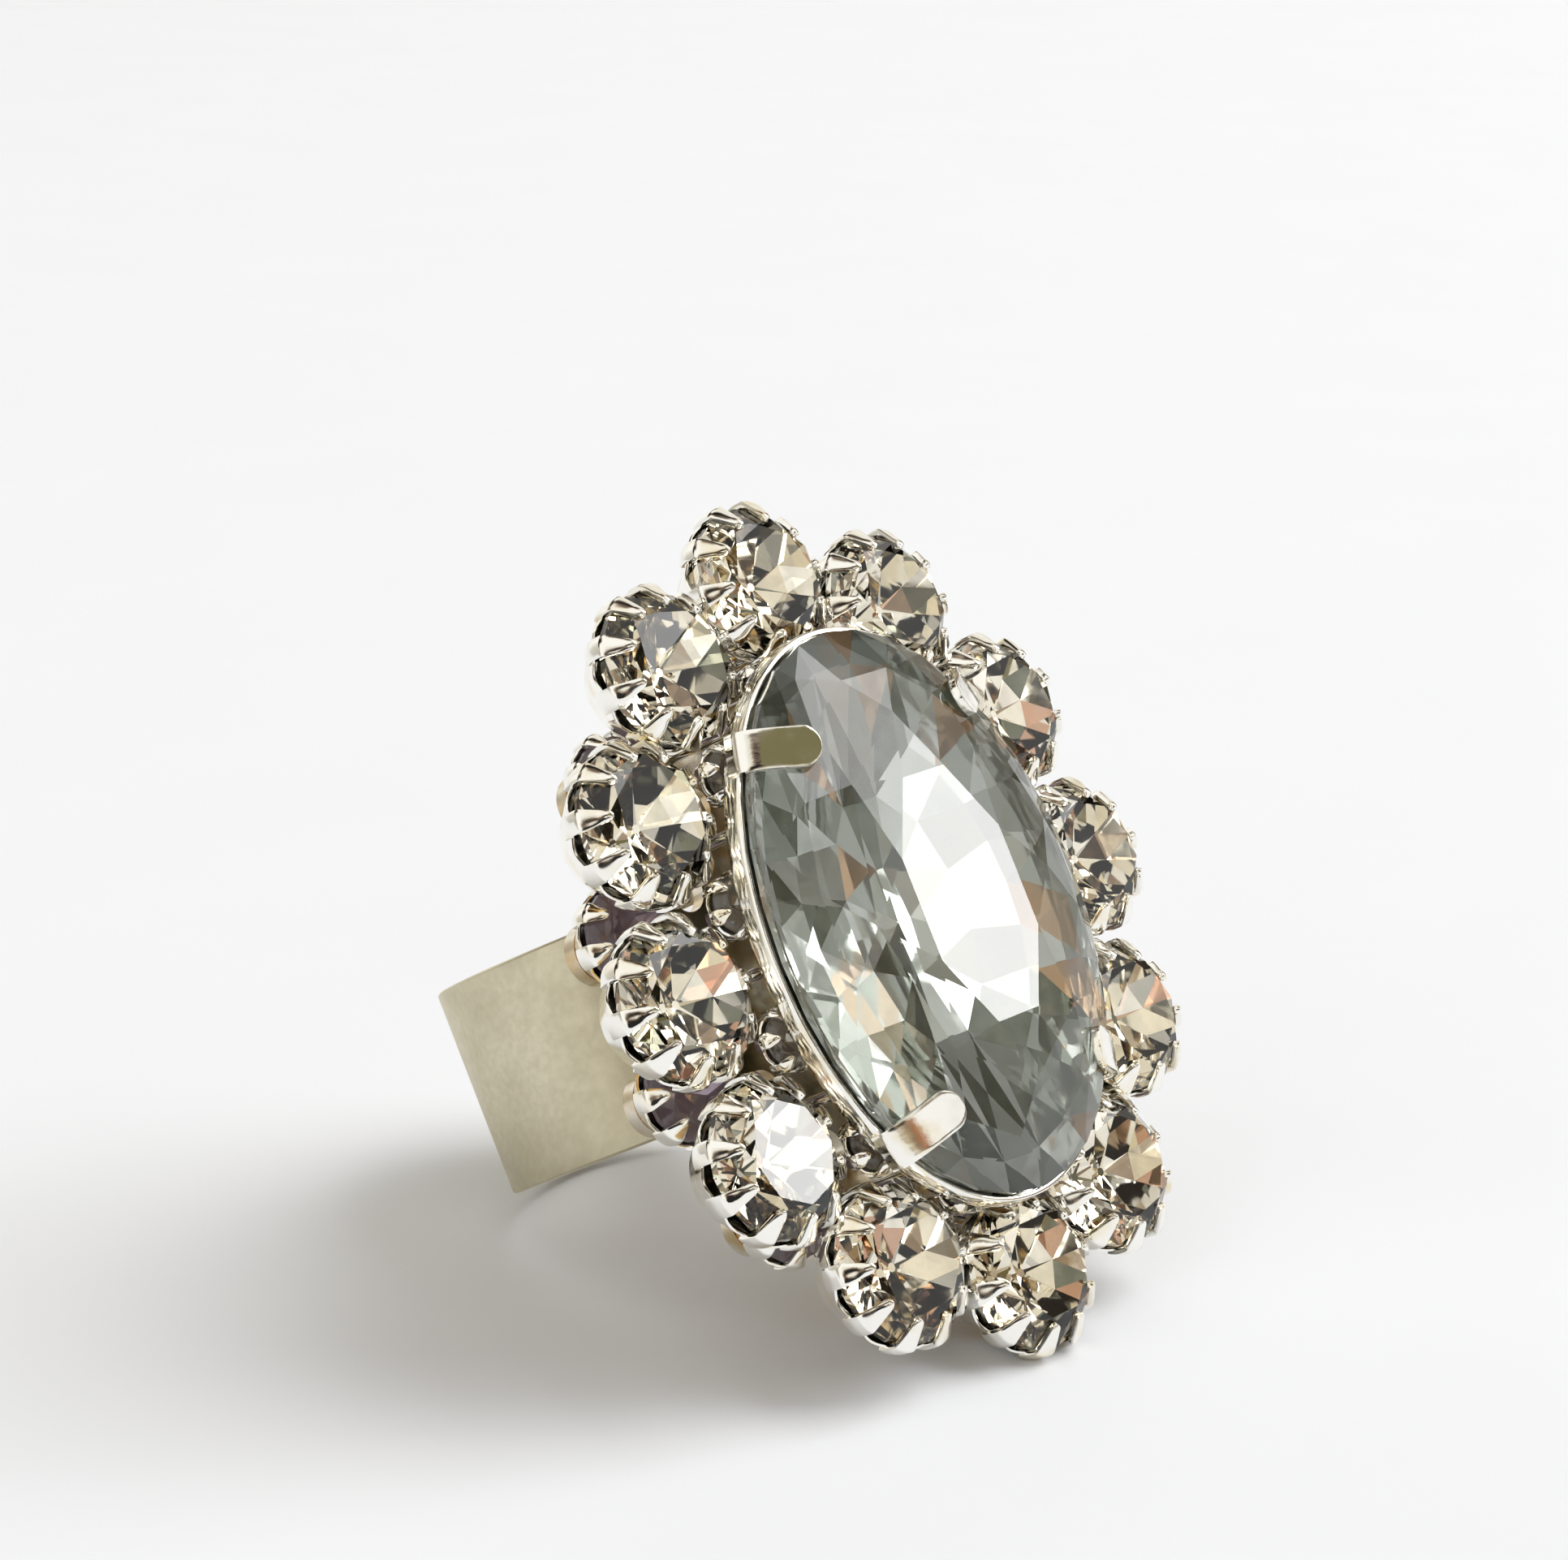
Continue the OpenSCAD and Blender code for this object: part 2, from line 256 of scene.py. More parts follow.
def cup(stone_r, prongs, prong_w, steps):
    """Stamped cup: a bowl with a scalloped edge, and tapered prongs that fold over the stone's crown."""
    wall_r = stone_r + FIT_GAP + CUP_T
    base_r = stone_r * CUP_BASE
    slot_z = stone_r * SEAT * SLOT_FROM
    slot_r = base_r + (wall_r - base_r) * SLOT_FROM / SHOULDER
    shape = cup_bowl(base_r, slot_r, slot_z, stone_r * 0.09, prongs, steps)
    prong = cup_prong(stone_r, slot_r, slot_z, prong_w)
    for i in range(prongs):
        shape.put(prong, Matrix.Rotation(2 * math.pi * (i + 0.5) / prongs, 4, "Z"))
    return shape


def gem(points, crown_from):
    """The hull of a stone's corners. Faces above crown_from are clear glass (0), the others foiled (1)."""
    bm = bmesh.new()
    for p in points:
        bm.verts.new(p)
    bmesh.ops.convex_hull(bm, input=bm.verts)
    bmesh.ops.dissolve_limit(bm, angle_limit=math.radians(0.6), verts=bm.verts, edges=bm.edges)
    bmesh.ops.recalc_face_normals(bm, faces=bm.faces)
    bm.verts.index_update()
    corners = [v.co.copy() for v in bm.verts]
    shape = Shape().add(corners, [tuple(v.index for v in f.verts) for f in bm.faces], smooth=False)
    shape.mats = [0 if f.calc_center_median().z > crown_from else 1 for f in bm.faces]
    bm.free()
    return shape


def ring_points(half_l, half_w, z, count, phase=0.0):
    """Corners evenly round an oval, the first one phase steps on from +Y."""
    turns = [2 * math.pi * (i + phase) / count for i in range(count)]
    return [(half_w * math.sin(t), half_l * math.cos(t), z) for t in turns]


def round_gem(r):
    """Brilliant cut with eight main facets, its base at the cup's floor level."""
    girdle = r * SEAT
    mid_r = MID_CROWN_R * r
    mid_z = CROWN * r * (1 - MID_CROWN_R * math.cos(math.pi / 8)) / (1 - TABLE)
    top = girdle + BELT * r
    points = ring_points(TABLE * r, TABLE * r, top + CROWN * r, 8)
    points += ring_points(mid_r, mid_r, top + mid_z, 8, 0.5)
    points += ring_points(r, r, top, 16)
    points += ring_points(r, r, girdle - BELT * r, 16)
    points += ring_points(MID_PAVILION_R * r, MID_PAVILION_R * r, girdle - MID_PAVILION * r, 8, 0.5)
    points += ring_points(CULET_R * r, CULET_R * r, girdle - PAVILION * r, 8)
    return gem(points, girdle - BELT * r * 0.5)


def oval_gem(half_l, half_w):
    """Elongated oval cut: table, three crown rows, girdle and four pavilion rows, the girdle's middle at z 0.
    Each row has its shares of the half length and half width, its height, its corners and their phase."""
    top = GIRDLE_T / 2
    low = -GIRDLE_T / 2
    rows = [
        (0.47, 0.37, top + CROWN_H, 8, 0.5),
        (0.66, 0.60, top + CROWN_H * 0.83, 8, 0.0),
        (0.83, 0.80, top + CROWN_H * 0.52, 16, 0.5),
        (0.94, 0.93, top + CROWN_H * 0.22, 16, 0.0),
        (1.00, 1.00, top, 32, 0.0),
        (1.00, 1.00, low, 32, 0.0),
        (0.84, 0.82, low - PAVILION_H * 0.27, 24, 0.5),
        (0.60, 0.55, low - PAVILION_H * 0.60, 24, 0.0),
        (0.42, 0.28, low - PAVILION_H * 0.85, 12, 0.5),
        (0.20, 0.04, low - PAVILION_H, 6, 0.5),
    ]
    points = []
    for share_l, share_w, z, count, phase in rows:
        points += ring_points(half_l * share_l, half_w * share_w, z, count, phase)
    return gem(points, low * 0.5)


def oval_rail(half_l, half_w, section, steps=160):
    """A closed section of (outward, height) points carried round an oval."""
    points = []
    for i in range(steps):
        t = 2 * math.pi * i / steps
        x = half_w * math.sin(t)
        y = half_l * math.cos(t)
        out = Vector((math.sin(t) / half_w, math.cos(t) / half_l)).normalized()
        points += [(x + out.x * d, y + out.y * d, z) for d, z in section]
    return Shape().add(points, [tuple(reversed(f)) for f in grid_faces(steps, len(section), True, True)])


def round_bar(x, y, low, high, d, steps=20):
    """An upright round post."""
    r = d / 2
    profile = [(0.01, low), (r, low), (r, high), (0.01, high)]
    return Shape().put(revolve(profile, steps), Matrix.Translation((x, y, 0)))


# ---------------------------------------------------------------- materials

def material(name):
    made = bpy.data.materials.new(name)
    made.use_nodes = True
    tree = made.node_tree
    return made, tree, tree.nodes["Principled BSDF"]


def make(tree, kind, **settings):
    """A node of that kind. Settings name its own properties, or its inputs."""
    n = tree.nodes.new(kind)
    for key, value in settings.items():
        if hasattr(n, key):
            setattr(n, key, value)
        else:
            n.inputs[key.title()].default_value = value
    return n


def noise(tree, scale, detail=3.0, stretch=(1, 1, 1)):
    """Noise over the object's own coordinates, scale in cycles per metre."""
    place = make(tree, "ShaderNodeTexCoord")
    stretched = make(tree, "ShaderNodeMapping")
    stretched.inputs["Scale"].default_value = stretch
    tree.links.new(place.outputs["Object"], stretched.inputs["Vector"])
    n = make(tree, "ShaderNodeTexNoise", scale=scale, detail=detail)
    tree.links.new(stretched.outputs["Vector"], n.inputs["Vector"])
    return n.outputs["Fac"]


def spread(tree, value, low, high, out_low, out_high):
    """value from low..high to out_low..out_high, held at the ends."""
    n = make(tree, "ShaderNodeMapRange")
    for name, number in (("From Min", low), ("From Max", high), ("To Min", out_low), ("To Max", out_high)):
        n.inputs[name].default_value = number
    tree.links.new(value, n.inputs["Value"])
    return n.outputs["Result"]


def mixed(tree, factor, a, b):
    """Colour a where factor is 0, b where it is 1. Either is a colour or a socket."""
    n = tree.nodes.new("ShaderNodeMix")
    n.data_type = "RGBA"
    tree.links.new(factor, n.inputs[0])
    for socket, colour in ((n.inputs[6], a), (n.inputs[7], b)):
        if isinstance(colour, bpy.types.NodeSocket):
            tree.links.new(colour, socket)
        else:
            socket.default_value = (*colour, 1)
    return n.outputs[2]


def bumped(tree, shader, height, strength, distance):
    n = make(tree, "ShaderNodeBump", strength=strength, distance=distance)
    tree.links.new(height, n.inputs["Height"])
    tree.links.new(n.outputs["Normal"], shader.inputs["Normal"])


def silver():
    """Bright plate, worn warm in patches and amber underneath, with fine polishing marks."""
    made, tree, shader = material("bright_silver_plate")
    shader.inputs["Metallic"].default_value = 1
    worn = spread(tree, noise(tree, 420, 4), 0.52, 0.72, 0, 1)
    plate = mixed(tree, worn, (0.975, 0.96, 0.905), (0.88, 0.79, 0.58))
    facing = make(tree, "ShaderNodeSeparateXYZ")
    tree.links.new(make(tree, "ShaderNodeTexCoord").outputs["Normal"], facing.inputs[0])
    under = spread(tree, facing.outputs["Z"], -0.85, -0.6, 1, 0)
    tree.links.new(mixed(tree, under, plate, (0.86, 0.55, 0.20)), shader.inputs["Base Color"])
    tree.links.new(spread(tree, noise(tree, 900, 3), 0.35, 0.7, 0.05, 0.17), shader.inputs["Roughness"])
    bumped(tree, shader, noise(tree, 1500, 5, (1, 1, 0.35)), 0.25, 0.00004)
    return made


def worn_brass():
    """The base plate, its silver worn through to the brass."""
    made, tree, shader = material("worn_brass_plate")
    shader.inputs["Metallic"].default_value = 1
    bare = spread(tree, noise(tree, 350, 4), 0.42, 0.58, 0, 1)
    tree.links.new(mixed(tree, bare, (0.62, 0.47, 0.26), (0.78, 0.73, 0.62)), shader.inputs["Base Color"])
    tree.links.new(spread(tree, noise(tree, 900, 3), 0.35, 0.7, 0.12, 0.30), shader.inputs["Roughness"])
    return made


def satin_nickel(outer_r):
    """Champagne plate: satin with scratches outside, polished on the rims and inside."""
    made, tree, shader = material("satin_champagne_nickel")
    shader.inputs["Metallic"].default_value = 1
    place = make(tree, "ShaderNodeTexCoord")
    flat = make(tree, "ShaderNodeVectorMath", operation="MULTIPLY")
    flat.inputs[1].default_value = (1, 0, 1)
    size = make(tree, "ShaderNodeVectorMath", operation="LENGTH")
    tree.links.new(place.outputs["Object"], flat.inputs[0])
    tree.links.new(flat.outputs[0], size.inputs[0])
    outside = spread(tree, size.outputs["Value"], (outer_r - 0.22) * MM, (outer_r - 0.05) * MM, 0, 1)
    patches = spread(tree, noise(tree, 160, 4), 0.3, 0.7, 0, 1)
    grain = spread(tree, noise(tree, 2200, 3), 0.35, 0.65, 0, 0.3)
    satin = mixed(tree, patches, (0.58, 0.53, 0.38), (0.76, 0.71, 0.54))
    satin = mixed(tree, grain, satin, (0.50, 0.45, 0.31))
    tree.links.new(mixed(tree, outside, (0.86, 0.82, 0.72), satin), shader.inputs["Base Color"])
    rough = make(tree, "ShaderNodeMath", operation="MULTIPLY_ADD")
    tree.links.new(outside, rough.inputs[0])
    tree.links.new(spread(tree, noise(tree, 700, 5), 0.3, 0.7, 0.22, 0.38), rough.inputs[1])
    rough.inputs[2].default_value = 0.12
    tree.links.new(rough.outputs[0], shader.inputs["Roughness"])
    bumped(tree, shader, noise(tree, 1300, 6, (1, 0.12, 1)), 0.35, 0.00006)
    return made


def glass(name, colour):
    """Clear cut glass with a trace of wear on its polish."""
    made, tree, shader = material(name)
    shader.inputs["Base Color"].default_value = (*colour, 1)
    shader.inputs["Transmission Weight"].default_value = 1
    shader.inputs["IOR"].default_value = 1.56
    tree.links.new(spread(tree, noise(tree, 500, 4), 0.5, 0.8, 0.0, 0.03), shader.inputs["Roughness"])
    return made


def foil(name, metallic):
    """The foil behind a stone, a mirror or partly milky. Each facet's tint comes from the mesh: the foil's
    own colour, with painted bright, dark and copper reflections on some facets.
    """
    made, tree, shader = material(name)
    shader.inputs["Metallic"].default_value = metallic
    foil_tone_and_painted_reflection = make(tree, "ShaderNodeAttribute")
    foil_tone_and_painted_reflection.attribute_name = "foil_tone_and_painted_reflection"
    cloud = spread(tree, noise(tree, 700, 5), 0.35, 0.75, 0, 0.35)
    tree.links.new(mixed(tree, cloud, foil_tone_and_painted_reflection.outputs["Color"], (0.42, 0.42, 0.39)), shader.inputs["Base Color"])
    tree.links.new(spread(tree, noise(tree, 900, 3), 0.4, 0.8, 0.01, 0.12), shader.inputs["Roughness"])
    return made


def floor_paper():
    """Pale matt floor, seen only from its upper side."""
    made, tree, shader = material("pale_floor")
    shader.inputs["Roughness"].default_value = 0.9
    grain = spread(tree, noise(tree, 60, 4), 0.3, 0.7, 0, 1)
    tone = mixed(tree, grain, (0.855, 0.880, 0.930), (0.865, 0.890, 0.940))
    tree.links.new(tone, shader.inputs["Base Color"])
    side = make(tree, "ShaderNodeNewGeometry")
    clear = make(tree, "ShaderNodeBsdfTransparent")
    either = make(tree, "ShaderNodeMixShader")
    tree.links.new(side.outputs["Backfacing"], either.inputs[0])
    tree.links.new(shader.outputs[0], either.inputs[1])
    tree.links.new(clear.outputs[0], either.inputs[2])
    tree.links.new(either.outputs[0], tree.nodes["Material Output"].inputs["Surface"])
    return made


SILVER = silver()
CLEAR = glass("clear_crystal_glass", (1.0, 0.975, 0.895))
LILAC = glass("lilac_crystal_glass", (0.96, 0.88, 0.97))
SMOKY = glass("smoky_crystal_glass", (0.91, 0.93, 0.91))
FOIL = foil("mirror_foil", 1)
SATIN_FOIL = foil("satin_foil", 0.6)
MILKY_FOIL = foil("milky_foil", 0.35)

# Tints of the foiled facets, each with its weight in the draw: the foil's own colour, with painted bright,
# dark and copper reflections such as a cut stone mirrors facet by facet
HALO_FOIL_AND_PAINTED_REFLECTION_TINTS = [((0.97, 0.94, 0.87), 7), ((0.90, 0.83, 0.68), 4), ((0.52, 0.51, 0.48), 2),
              ((0.15, 0.16, 0.12), 1.5), ((0.66, 0.40, 0.28), 1)]
ACCENT_FOIL_AND_PAINTED_REFLECTION_TINTS = [((0.98, 0.98, 0.97), 5), ((0.97, 0.94, 0.87), 2), ((0.52, 0.51, 0.48), 1)]
LILAC_FOIL_AND_PAINTED_REFLECTION_TINTS = [((0.93, 0.82, 0.93), 4), ((0.74, 0.63, 0.75), 2), ((0.98, 0.95, 0.98), 1)]
SMOKY_FOIL_AND_PAINTED_REFLECTION_TINTS = [((0.60, 0.63, 0.60), 5), ((0.38, 0.41, 0.37), 4), ((0.90, 0.92, 0.91), 2),
               ((0.14, 0.16, 0.12), 3), ((0.60, 0.40, 0.24), 0.7)]


# ---------------------------------------------------------------- pieces

def piece(name, shape, materials, stands_for, place=Matrix(), foil_tones_and_painted_reflections=None, seed=0, bevel=0.0):
    """Makes the object at its place (mm), lets it ride on the body and hides the CAD nodes it stands for."""
    mesh = bpy.data.meshes.new(name)
    mesh.from_pydata([place @ p * MM for p in shape.points], [], shape.faces)
    mesh.polygons.foreach_set("material_index", shape.mats)
    mesh.polygons.foreach_set("use_smooth", shape.smooth)
    for m in materials:
        mesh.materials.append(m)
    # Each face draws its tint: the foil's colour, with painted bright and dark reflections
    if foil_tones_and_painted_reflections:
        draw = random.Random(seed)
        colours = mesh.attributes.new("foil_tone_and_painted_reflection", "FLOAT_COLOR", "FACE")
        names, weights = zip(*foil_tones_and_painted_reflections)
        for face in colours.data:
            face.color = (*draw.choices(names, weights)[0], 1)
    mesh.update()
    made = bpy.data.objects.new(name, mesh)
    bpy.context.scene.collection.objects.link(made)
    if bevel:
        rounding = made.modifiers.new("rounding", "BEVEL")
        rounding.width = bevel * MM
        rounding.segments = 2
        rounding.limit_method = "ANGLE"
        rounding.angle_limit = math.radians(40)
        made.modifiers.new("normals", "WEIGHTED_NORMAL").keep_sharp = True
    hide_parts(*stands_for)
    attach(made, BODY)


def numbered(stem, k):
    return f"{stem}_{k + 1:02d}"


def stone_place(node):
    """The middle of a round stone at its cup's floor level (mm) and its radius, from the CAD box."""
    lo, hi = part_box(node)
    r = (hi.z - lo.z) / MM / (PAVILION + BELT + CROWN)
    floor_z = hi.z / MM - r * (SEAT + BELT + CROWN)
    return Vector(((lo.x + hi.x) / 2 / MM, (lo.y + hi.y) / 2 / MM, floor_z)), r


def leaning(centre, draw, glare):
    """A stone's normal, a little off level, so that its table mirrors the window or keeps clear of it."""
    to_camera = (Vector(CAMERA_AT) - centre).normalized()
    if glare:
        return (to_camera + WINDOW).normalized()
    while True:
        normal = Vector((draw.uniform(-LEAN, LEAN), draw.uniform(-LEAN, LEAN), 1)).normalized()
        mirrored = 2 * normal.dot(to_camera) * normal - to_camera
        if mirrored.angle(WINDOW) > CLEAR_OF_WINDOW:
            return normal


def halo_row(prongs=10, prong_w=1.15):
    """Twelve big cups and their stones. Each stone sits a little off level, as hand-set ones do."""
    draw = random.Random(7)
    for k in range(COUNT):
        centre, r = stone_place(numbered("halo_stone", k))
        spin = math.atan2(centre.y, centre.x) + k * math.pi / prongs
        at = Matrix.Translation(centre)
        piece(numbered("halo_metal", k), cup(r, prongs, prong_w, 80), [SILVER],
              [numbered("halo_cup", k)], at @ Matrix.Rotation(spin, 4, "Z"), bevel=0.05)
        normal = leaning(centre + Vector((0, 0, r)), draw, k == GLARE_STONE)
        lean = Vector((0, 0, 1)).rotation_difference(normal).to_matrix().to_4x4()
        pivot = Matrix.Translation((0, 0, r * SEAT))
        turn = Matrix.Rotation(draw.uniform(0, math.pi), 4, "Z")
        piece(numbered("halo_gem", k), round_gem(r), [CLEAR, FOIL],
              [numbered("halo_stone", k)], at @ pivot @ lean @ turn @ pivot.inverted(), HALO_FOIL_AND_PAINTED_REFLECTION_TINTS, seed=k)


def small_row(stem, cups_node, prongs, prong_w, glass_material, foil_tones_and_painted_reflections):
    """A row of small stones, and their cups as one piece."""
    cups = Shape()
    for k in range(COUNT):
        centre, r = stone_place(numbered(stem, k))
        spin = math.atan2(centre.y, centre.x)
        cups.put(cup(r, prongs, prong_w, 36), Matrix.Translation(centre) @ Matrix.Rotation(spin, 4, "Z"))
        place = Matrix.Translation(centre) @ Matrix.Rotation(spin + k, 4, "Z")
        piece(numbered(stem.replace("stone", "gem"), k), round_gem(r), [glass_material, MILKY_FOIL],
              [numbered(stem, k)], place, foil_tones_and_painted_reflections, seed=100 + k)
    piece(cups_node + "_metal", cups, [SILVER], [cups_node], bevel=0.04)


def big_stone():
    """The oval stone. Returns its half sizes and its girdle's height."""
    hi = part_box("center_stone")[1]
    half_l = hi.y / MM
    half_w = hi.x / MM
    girdle_z = hi.z / MM - CROWN_H - GIRDLE_T / 2
    piece("center_gem", oval_gem(half_l, half_w), [SMOKY, SATIN_FOIL], ["center_stone"],
          Matrix.Translation((0, 0, girdle_z)), SMOKY_FOIL_AND_PAINTED_REFLECTION_TINTS, seed=11)
    return half_l, half_w, girdle_z


def gallery_rails(half_l, half_w):
    """The thin rim round the girdle and the ledge under it, the girdle's middle at z 0."""
    low = -GIRDLE_T / 2 - RIM_DEPTH
    high = -GIRDLE_T / 2 - 0.1
    rim = [(FIT_GAP, low), (RIM_T, low), (RIM_T - 0.08, high - 0.1), (RIM_T - 0.16, high),
           (FIT_GAP + 0.04, high), (FIT_GAP, high - 0.04)]
    ledge = [(-LEDGE_IN, low - LEDGE_T), (RIM_T, low - LEDGE_T), (RIM_T, low), (-LEDGE_IN, low)]
    return Shape().put(oval_rail(half_l, half_w, rim)).put(oval_rail(half_l, half_w, ledge))


def gallery_posts(high):
    """A post between the big stone and each halo cup, from the base plate up to a height."""
    foot_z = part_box("center_setting")[0].z / MM
    halo_l = stone_place("halo_stone_01")[0].y
    halo_w = stone_place("halo_stone_04")[0].x
    posts = Shape()
    for k in range(COUNT):
        centre, r = stone_place(numbered("halo_stone", k))
        out = Vector((centre.x / halo_w**2, centre.y / halo_l**2)).normalized()
        inset = r + FIT_GAP + CUP_T + CUP_GAP + POST_D / 2
        posts.put(round_bar(centre.x - out.x * inset, centre.y - out.y * inset, foot_z, high, POST_D))
    return posts


def strap():
    """A strap prong with its foot on the girdle's edge and +X pointing in over the stone."""
    slope = math.tan(math.radians(STRAP_SLOPE))
    leg_x = -STRAP_OFF - STRAP_T / 2
    lift = STRAP_T / 2 * math.hypot(1, slope)

    def over(x):
        return x, GIRDLE_T / 2 + (x + STRAP_OFF) * slope + lift

    path = [(leg_x, -GIRDLE_T / 2 - RIM_DEPTH), over(leg_x), over(STRAP_REACH * STRAP_RUN - STRAP_OUT)]
    return strip(resample(rounded(path, 3), 0.25), STRAP_W, STRAP_T, 0.05, STRAP_W * 0.42, 9)


def gallery_straps(half_l, half_w, girdle_z):
    """The four straps, one in each quarter."""
    t = math.radians(STRAP_AT)
    foot = Matrix.Translation((half_w * math.sin(t), half_l * math.cos(t), girdle_z))
    first = Shape().put(strap(), foot @ Matrix.Rotation(math.radians(180 + STRAP_TURN), 4, "Z"))
    straps = Shape()
    for sx in (1, -1):
        for sy in (1, -1):
            copy = Shape().put(first, Matrix.Diagonal((sx, sy, 1, 1)))
            if sx * sy < 0:
                copy.faces = [tuple(reversed(f)) for f in copy.faces]
            straps.put(copy)
    return straps


def big_setting(half_l, half_w, girdle_z):
    """Rim, ledge, posts and the four straps, as one brazed piece."""
    shape = Shape().put(gallery_rails(half_l, half_w), Matrix.Translation((0, 0, girdle_z)))
    shape.put(gallery_posts(girdle_z - GIRDLE_T / 2 - RIM_DEPTH - LEDGE_T / 2))
    shape.put(gallery_straps(half_l, half_w, girdle_z))
    piece("center_gallery", shape, [SILVER], ["center_setting"], bevel=0.06)


def dented(shape, outer_r):
    """A few shallow dents pressed into the outside of a band that stands on Z."""
    draw = random.Random(3)
    dents = [
        (draw.uniform(0, 2 * math.pi), draw.uniform(-4, 4), draw.uniform(0.5, 1.1))
        for _ in range(DENTS)
    ]
    for p in shape.points:
        turn = math.atan2(p.y, p.x)
        r = math.hypot(p.x, p.y)
        if r > outer_r - 0.01:
            depth = 0
            for at, height, w in dents:
                away = (math.remainder(turn - at, 2 * math.pi) * r) ** 2 + (p.z - height) ** 2
                depth += DENT_DEPTH * math.exp(-away / w**2)
            p.x *= 1 - depth / r
            p.y *= 1 - depth / r
    return shape


def finger_band():
    """Rolled strip with rounded rims and a few shallow dents."""
    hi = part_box("band")[1]
    outer_r = hi.x / MM
    half_w = hi.y / MM
    bore_r = outer_r - BAND_T
    soft = 0.14
    rows = 12
    outside = half_w - soft
    section = [(bore_r, -outside), (bore_r + soft, -half_w), (outer_r - soft, -half_w), (outer_r, -outside)]
    section += [(outer_r, -outside + outside * 2 * i / rows) for i in range(1, rows)]
    section += [(outer_r, outside), (outer_r - soft, half_w), (bore_r + soft, half_w), (bore_r, outside)]
    band = dented(revolve(section, 240), outer_r)
    laid = Shape().put(band, Matrix.Rotation(math.pi / 2, 4, "X"))
    piece("finger_band", laid, [satin_nickel(outer_r)], ["band"], bevel=0.04)


def plain_supports():
    """The pad and the base plate keep their CAD shapes."""
    for name, finish in (("band_pad", SILVER), ("base_plate", worn_brass())):
        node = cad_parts[name]
        node.data.materials.clear()
        node.data.materials.append(finish)
        edge = node.modifiers.new("rounding", "BEVEL")
        edge.width = 0.06 * MM
        edge.segments = 2
        edge.limit_method = "ANGLE"


# ---------------------------------------------------------------- stage

# Tones of the mottled surround, darkest first, each with its place in the noise
SURROUND = [(0.36, (0.02, 0.02, 0.02)), (0.41, (0.34, 0.25, 0.18)), (0.455, (0.80, 0.77, 0.68)),
            (0.56, (1.0, 0.985, 0.95))]
BACKDROP = (0.93, 0.93, 0.945)

# Cards in the surround: direction, half angle (degrees), softness of the edge and tone
CARDS = [
    ((0.67, -0.03, -0.74), 50, 0.35, (0.34, 0.32, 0.27)),
    ((0.16, -0.36, 0.92), 16, 0.004, (0.19, 0.17, 0.085)),
    ((0.17, 0.31, 0.94), 9, 0.004, (0.95, 0.94, 0.92)),
    ((0.30, 0.36, 0.88), 5, 0.004, (0.42, 0.18, 0.09)),
]


def floor_plane():
    """The ring lies on its side: the floor touches the shoulder of halo cup 1 and the band's rim.
    Returns the rim's point, the floor's normal and its direction up towards the head."""
    centre, r = stone_place("halo_stone_01")
    cup_edge = Vector((0, centre.y + r + FIT_GAP + CUP_T, centre.z + r * SEAT * SHOULDER)) * MM
    lo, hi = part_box("band")
    rim_edge = Vector((0, hi.y, lo.z))
    up_slope = (cup_edge - rim_edge).normalized()
    return rim_edge, Vector((1, 0, 0)).cross(up_slope), up_slope


def floor():
    """A wide pale sheet in that plane. Returns its normal."""
    rest, normal, up_slope = floor_plane()
    wide = 3.0
    side = Vector((1, 0, 0))
    signs = ((-1, -1), (1, -1), (1, 1), (-1, 1))
    corners = [rest + side * (wide * a) + up_slope * (wide * b) for a, b in signs]
    mesh = bpy.data.meshes.new("floor")
    mesh.from_pydata(corners, [], [(0, 1, 2, 3)])
    if mesh.polygons[0].normal.dot(normal) < 0:
        mesh.flip_normals()
    mesh.materials.append(floor_paper())
    made = bpy.data.objects.new("floor", mesh)
    bpy.context.scene.collection.objects.link(made)
    return normal


def area_light(name, direction, distance, size, radiance):
    """A square soft light that looks at the ring from that direction. Radiance is what it shows face on."""
    data = bpy.data.lights.new(name, "AREA")
    data.shape = "SQUARE"
    data.size = size
    data.energy = radiance * math.pi * size * size
    made = bpy.data.objects.new(name, data)
    bpy.context.scene.collection.objects.link(made)
    towards = Vector(direction).normalized()
    made.location = towards * distance
    made.rotation_mode = "QUATERNION"
    made.rotation_quaternion = towards.to_track_quat("Z", "Y")


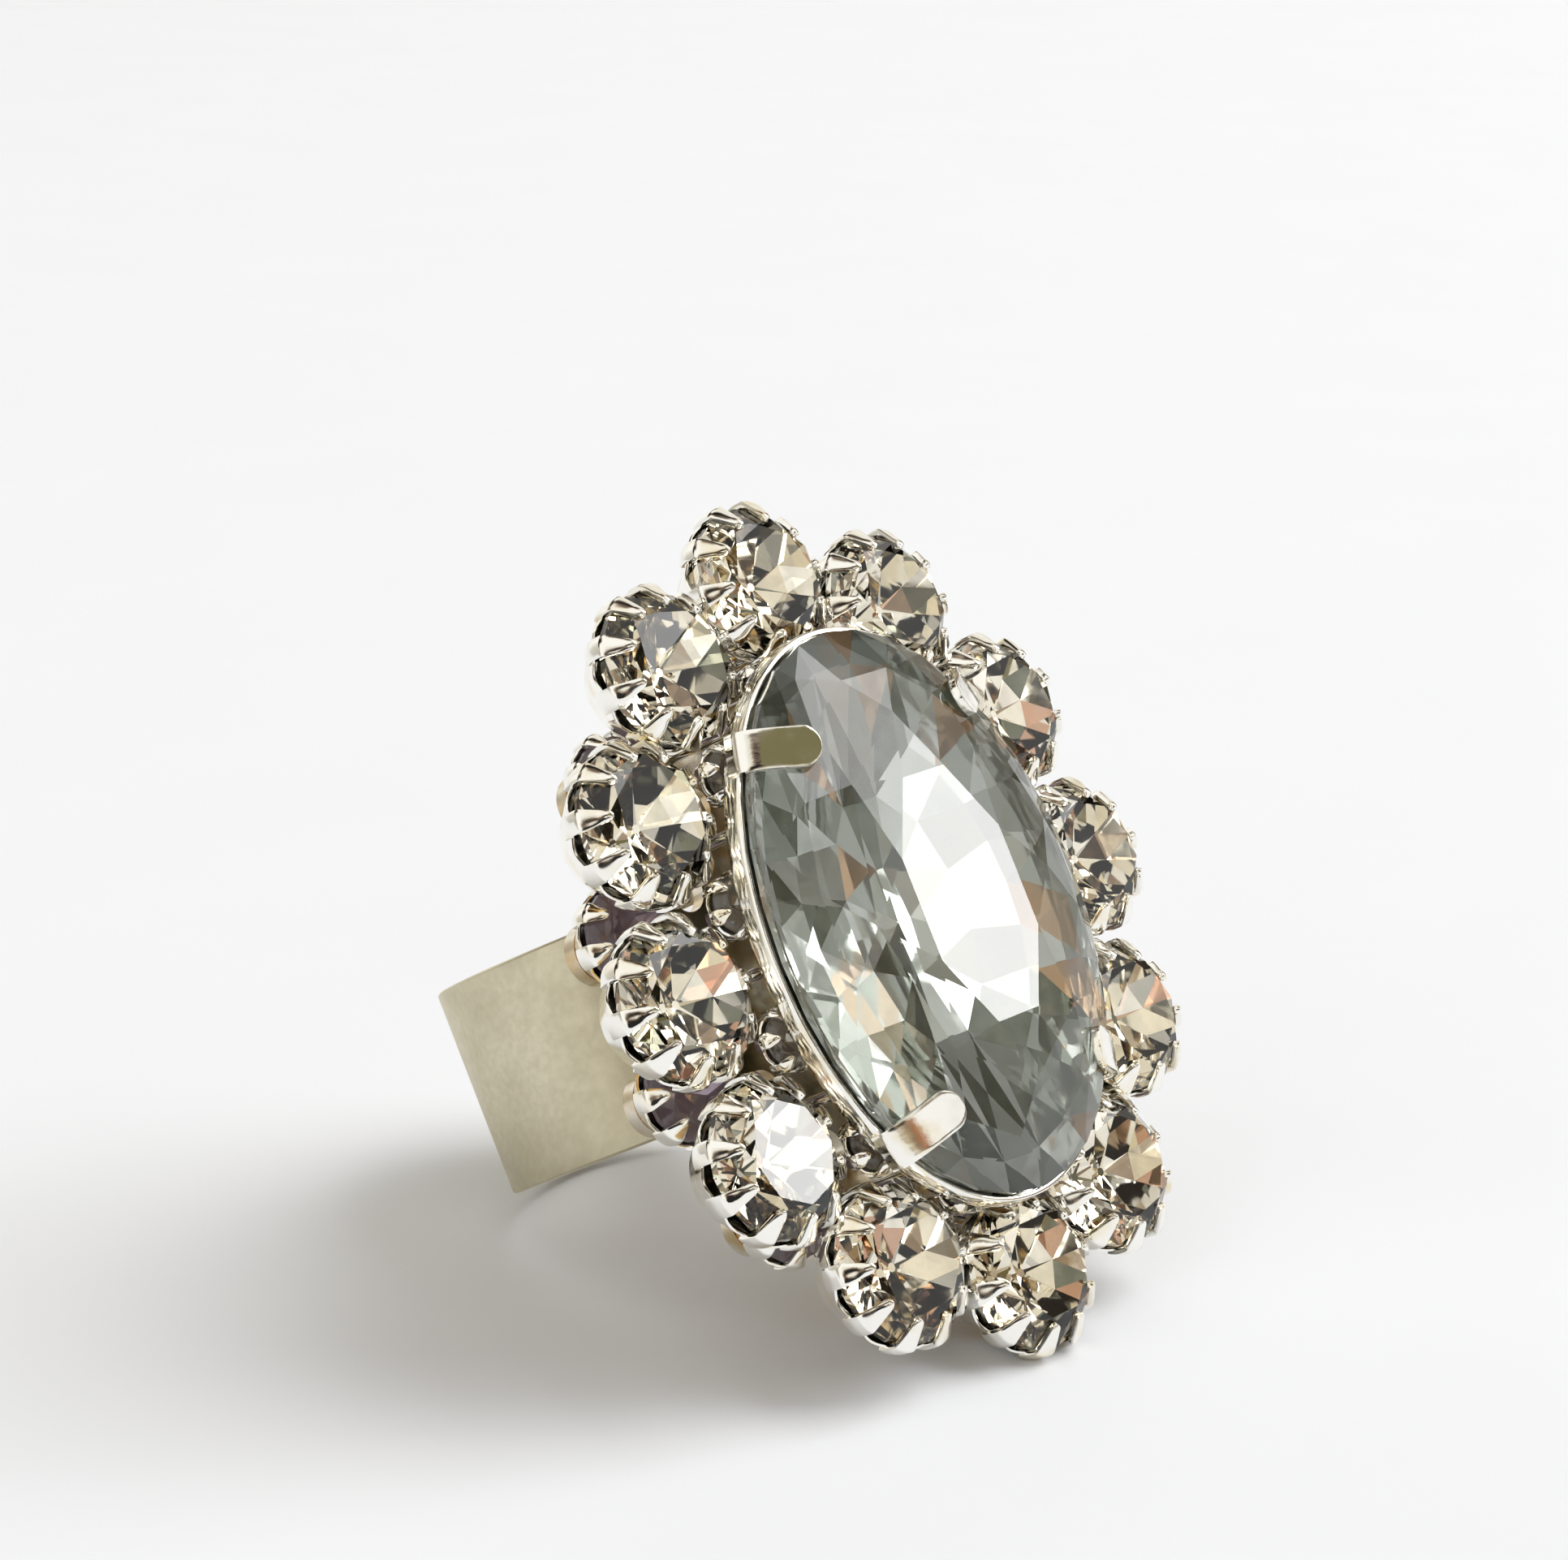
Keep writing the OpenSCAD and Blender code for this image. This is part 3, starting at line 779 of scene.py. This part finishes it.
def mottled(tree, place):
    """Soft blotches in the surround's tones."""
    blotches = make(tree, "ShaderNodeTexNoise", scale=1.7, detail=1.0)
    tree.links.new(place, blotches.inputs["Vector"])
    ramp = make(tree, "ShaderNodeValToRGB")
    stops = ramp.color_ramp.elements
    stops[0].position = SURROUND[0][0]
    stops[1].position = SURROUND[-1][0]
    for at, tone in SURROUND[1:-1]:
        stops.new(at)
    for stop, (at, tone) in zip(stops, SURROUND):
        stop.color = (*tone, 1)
    tree.links.new(blotches.outputs["Fac"], ramp.inputs["Fac"])
    return ramp.outputs["Color"]


def surround():
    """A mottled room with a few cards in it, and a plain pale backdrop behind the ring."""
    world = bpy.data.worlds.new("surround")
    bpy.context.scene.world = world
    world.use_nodes = True
    tree = world.node_tree
    place = make(tree, "ShaderNodeTexCoord").outputs["Generated"]
    colour = mottled(tree, place)
    for direction, half_angle, softness, tone in CARDS:
        near = make(tree, "ShaderNodeVectorMath", operation="DOT_PRODUCT")
        near.inputs[1].default_value = Vector(direction).normalized()
        tree.links.new(place, near.inputs[0])
        edge = math.cos(math.radians(half_angle))
        card = spread(tree, near.outputs["Value"], edge, edge + softness, 0, 1)
        colour = mixed(tree, card, colour, tone)
    seen = make(tree, "ShaderNodeLightPath").outputs["Is Camera Ray"]
    tree.links.new(mixed(tree, seen, colour, BACKDROP), tree.nodes["Background"].inputs["Color"])


def studio(normal):
    """A small bright window low on one side, a big soft light over the floor, and the surround."""
    area_light("window", WINDOW, 3.0, 0.34, 11)
    area_light("soft_box", WINDOW * 0.8 + normal * 0.6, 3.0, 2.2, 3.9)
    surround()


def camera():
    data = bpy.data.cameras.new("photo_camera")
    data.lens = CAMERA_LENS
    data.sensor_width = 36
    data.clip_start = 0.005
    made = bpy.data.objects.new("photo_camera", data)
    made.location = Vector(CAMERA_AT) * MM
    made.rotation_euler = [math.radians(a) for a in CAMERA_TURN]
    bpy.context.scene.collection.objects.link(made)
    bpy.context.scene.camera = made


camera()
finger_band()
plain_supports()
big_setting(*big_stone())
halo_row()
small_row("accent_stone", "accent_cups", 6, 0.75, CLEAR, ACCENT_FOIL_AND_PAINTED_REFLECTION_TINTS)
small_row("under_stone", "under_cups", 8, 1.1, LILAC, LILAC_FOIL_AND_PAINTED_REFLECTION_TINTS)
studio(floor())
bpy.context.scene.view_settings.view_transform = "Standard"
